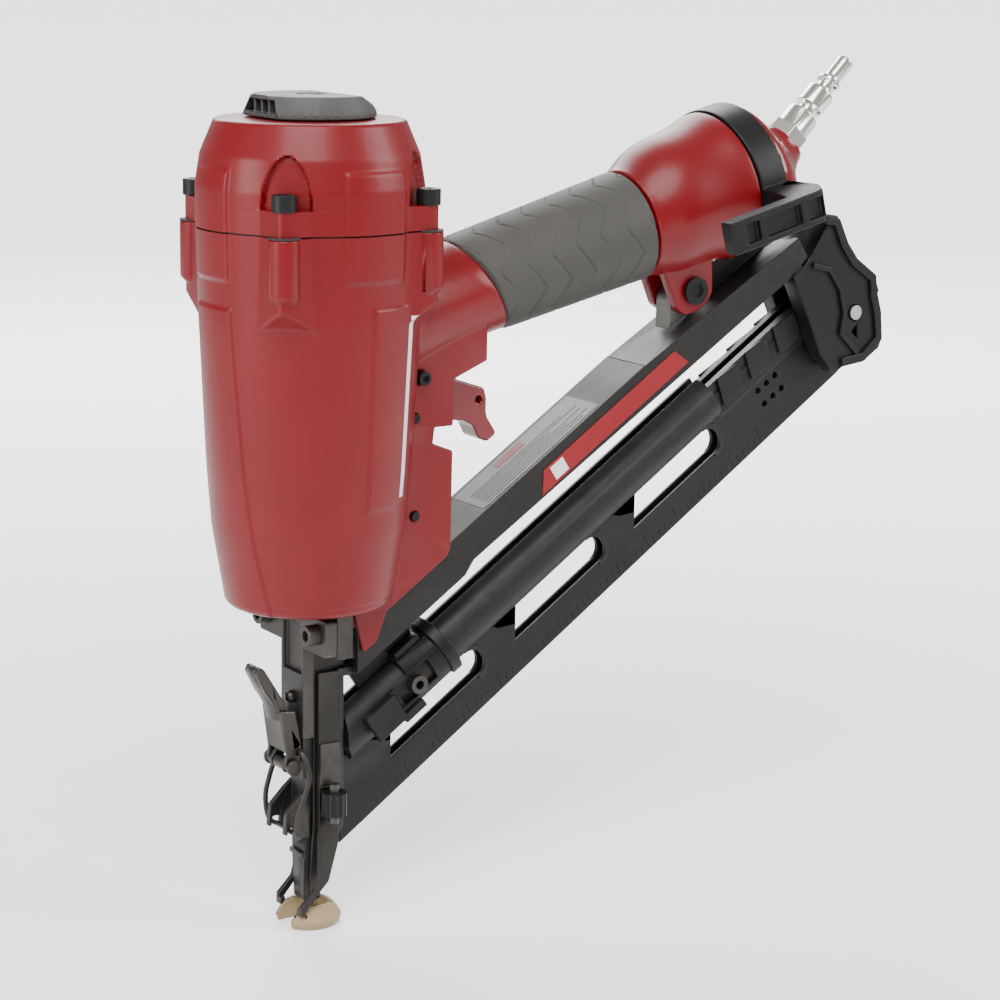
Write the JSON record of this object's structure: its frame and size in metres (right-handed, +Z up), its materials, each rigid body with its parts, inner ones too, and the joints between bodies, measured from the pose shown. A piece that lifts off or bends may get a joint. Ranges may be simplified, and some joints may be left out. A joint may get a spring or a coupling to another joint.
{
  "type": "pneumatic nail gun",
  "caption": "Angled pneumatic finish nailer with swivelling exhaust deflector, trigger, sprung work contact, latched nose door, sliding magazine pusher and belt hook.",
  "frame": {"origin": "nail exit, at the metal tip of the nose on the drive axis", "axes": "+Z up the drive axis to the cap, +X back towards the handle, -Y the belt hook's side"},
  "size_m": [0.2889, 0.0906, 0.3033],
  "materials": {
    "housing_red": "satin",
    "cap_red": "satin",
    "inlet_red": "gloss",
    "gasket": "matte",
    "bumper": "matte",
    "dark_fasteners": "black oxide",
    "latch_steel": "satin",
    "bright_steel": "ground",
    "deflector_grey": "matte",
    "sleeve": "honed",
    "piston": "machined",
    "valve_plastic": "matte",
    "trigger_red": "gloss",
    "valve_brass": "turned",
    "grip_rubber": "matte",
    "hook_plastic": "matte",
    "nickel": "polished",
    "magazine_black": "satin anodised",
    "bracket_plastic": "matte",
    "lug_steel": "cast",
    "pusher_plastic": "matte",
    "nose_steel": "cast",
    "nose_casting": "cast",
    "contact_steel": "dark",
    "pad_beige": "matte",
    "wheel_black": "matte"
  },
  "bodies": {
    "tool": {"main_housing": "housing_red", "cylinder_cap": "cap_red", "end_cap": "inlet_red", "cap_gasket": "gasket", "sleeve_seal": "gasket", "piston_bumper": "bumper", "rim_gasket": "gasket", "cap_screws": "dark_fasteners", "nose_screws": "dark_fasteners", "bracket_bolt": "dark_fasteners", "trigger_pivot_pin": "dark_fasteners", "rail_pins": "dark_fasteners", "latch_pin": "latch_steel", "stop_pin": "latch_steel", "deflector_screw": "dark_fasteners", "cylinder_sleeve": "sleeve", "head_valve_spring": "bright_steel", "trigger_valve_body": "valve_brass", "handle_grip": "grip_rubber", "magazine_rail": "magazine_black", "magazine_track": "magazine_black", "rear_bracket": "bracket_plastic", "magazine_bracket": "lug_steel", "nose_body": "nose_steel", "nose_cover": "nose_casting", "jam_door": "nose_steel"},
    "deflector": {"exhaust_deflector": "deflector_grey"},
    "driver": {"piston": "piston", "piston_ring": "gasket", "driver_blade": "bright_steel"},
    "head_valve": {"head_valve": "valve_plastic", "head_valve_seal": "gasket"},
    "trigger": {"trigger": "trigger_red", "trigger_lever": "bright_steel", "lever_pin": "bright_steel"},
    "valve_stem": {"trigger_valve_stem": "valve_brass"},
    "belt_hook": {"belt_hook": "hook_plastic"},
    "air_plug": {"air_plug": "nickel"},
    "pusher": {"pusher": "pusher_plastic", "pusher_latch": "pusher_plastic", "pusher_spring": "bright_steel"},
    "latch_lever": {"latch_lever": "latch_steel"},
    "latch_bail": {"latch_bail": "latch_steel"},
    "contact": {"contact_fork": "contact_steel", "no_mar_pad": "pad_beige", "depth_post": "latch_steel"},
    "depth_wheel": {"depth_wheel": "wheel_black"}
  },
  "joints": [
    {"name": "deflector_turn", "type": "hinge", "parent": "tool", "child": "deflector", "pos_m": [0, 0, 0.28], "axis": [0, 0, 1], "continuous": true},
    {"name": "driver_stroke", "type": "slide", "parent": "tool", "child": "driver", "axis": [0, 0, -1], "range_m": [0, 0.09]},
    {"name": "head_valve_lift", "type": "slide", "parent": "tool", "child": "head_valve", "axis": [0, 0, 1], "range_m": [0, 0.005], "stiffness_N_per_m": 2000, "springref_m": -0.003, "deforming": ["head_valve_spring"]},
    {"name": "trigger_pull", "type": "hinge", "parent": "tool", "child": "trigger", "pos_m": [0.0359, 0, 0.1877], "axis": [0, -1, 0], "range_deg": [0, 8], "stiffness_Nm_per_rad": 1, "springref_deg": -14.32},
    {"name": "valve_stem_lift", "type": "slide", "parent": "tool", "child": "valve_stem", "axis": [0, 0, 1], "range_m": [0, 0.0031]},
    {"name": "belt_hook_swing", "type": "hinge", "parent": "tool", "child": "belt_hook", "pos_m": [0.1795, 0, 0.24895], "axis": [-0.969, 0, -0.247], "range_deg": [0, 180]},
    {"name": "air_plug_swivel", "type": "hinge", "parent": "tool", "child": "air_plug", "pos_m": [0.21033, 0, 0.26707], "axis": [0.7181, 0, 0.6959], "continuous": true},
    {"name": "pusher_slide", "type": "slide", "parent": "tool", "child": "pusher", "axis": [0.829, 0, 0.5592], "range_m": [0, 0.118], "stiffness_N_per_m": 15, "springref_m": -0.4},
    {"name": "latch_lever_open", "type": "hinge", "parent": "tool", "child": "latch_lever", "pos_m": [-0.011, 0, 0.0524], "axis": [0, -1, 0], "range_deg": [0, 95]},
    {"name": "latch_bail_swing", "type": "hinge", "parent": "latch_lever", "child": "latch_bail", "pos_m": [-0.0083, 0, 0.0572], "axis": [0, -1, 0], "range_deg": [-80, 0]},
    {"name": "contact_lift", "type": "slide", "parent": "tool", "child": "contact", "axis": [0, 0, 1], "range_m": [0, 0.008], "stiffness_N_per_m": 400, "springref_m": -0.012},
    {"name": "depth_wheel_turn", "type": "hinge", "parent": "contact", "child": "depth_wheel", "pos_m": [0.0022, -0.0132, 0.03865], "axis": [0, 0, 1], "continuous": true}
  ],
  "couplings": [
    {"joint": "valve_stem_lift", "follows": "trigger_pull", "m_per_rad": 0.0216},
    {"joint": "latch_bail_swing", "follows": "latch_lever_open", "ratio": -0.82}
  ]
}
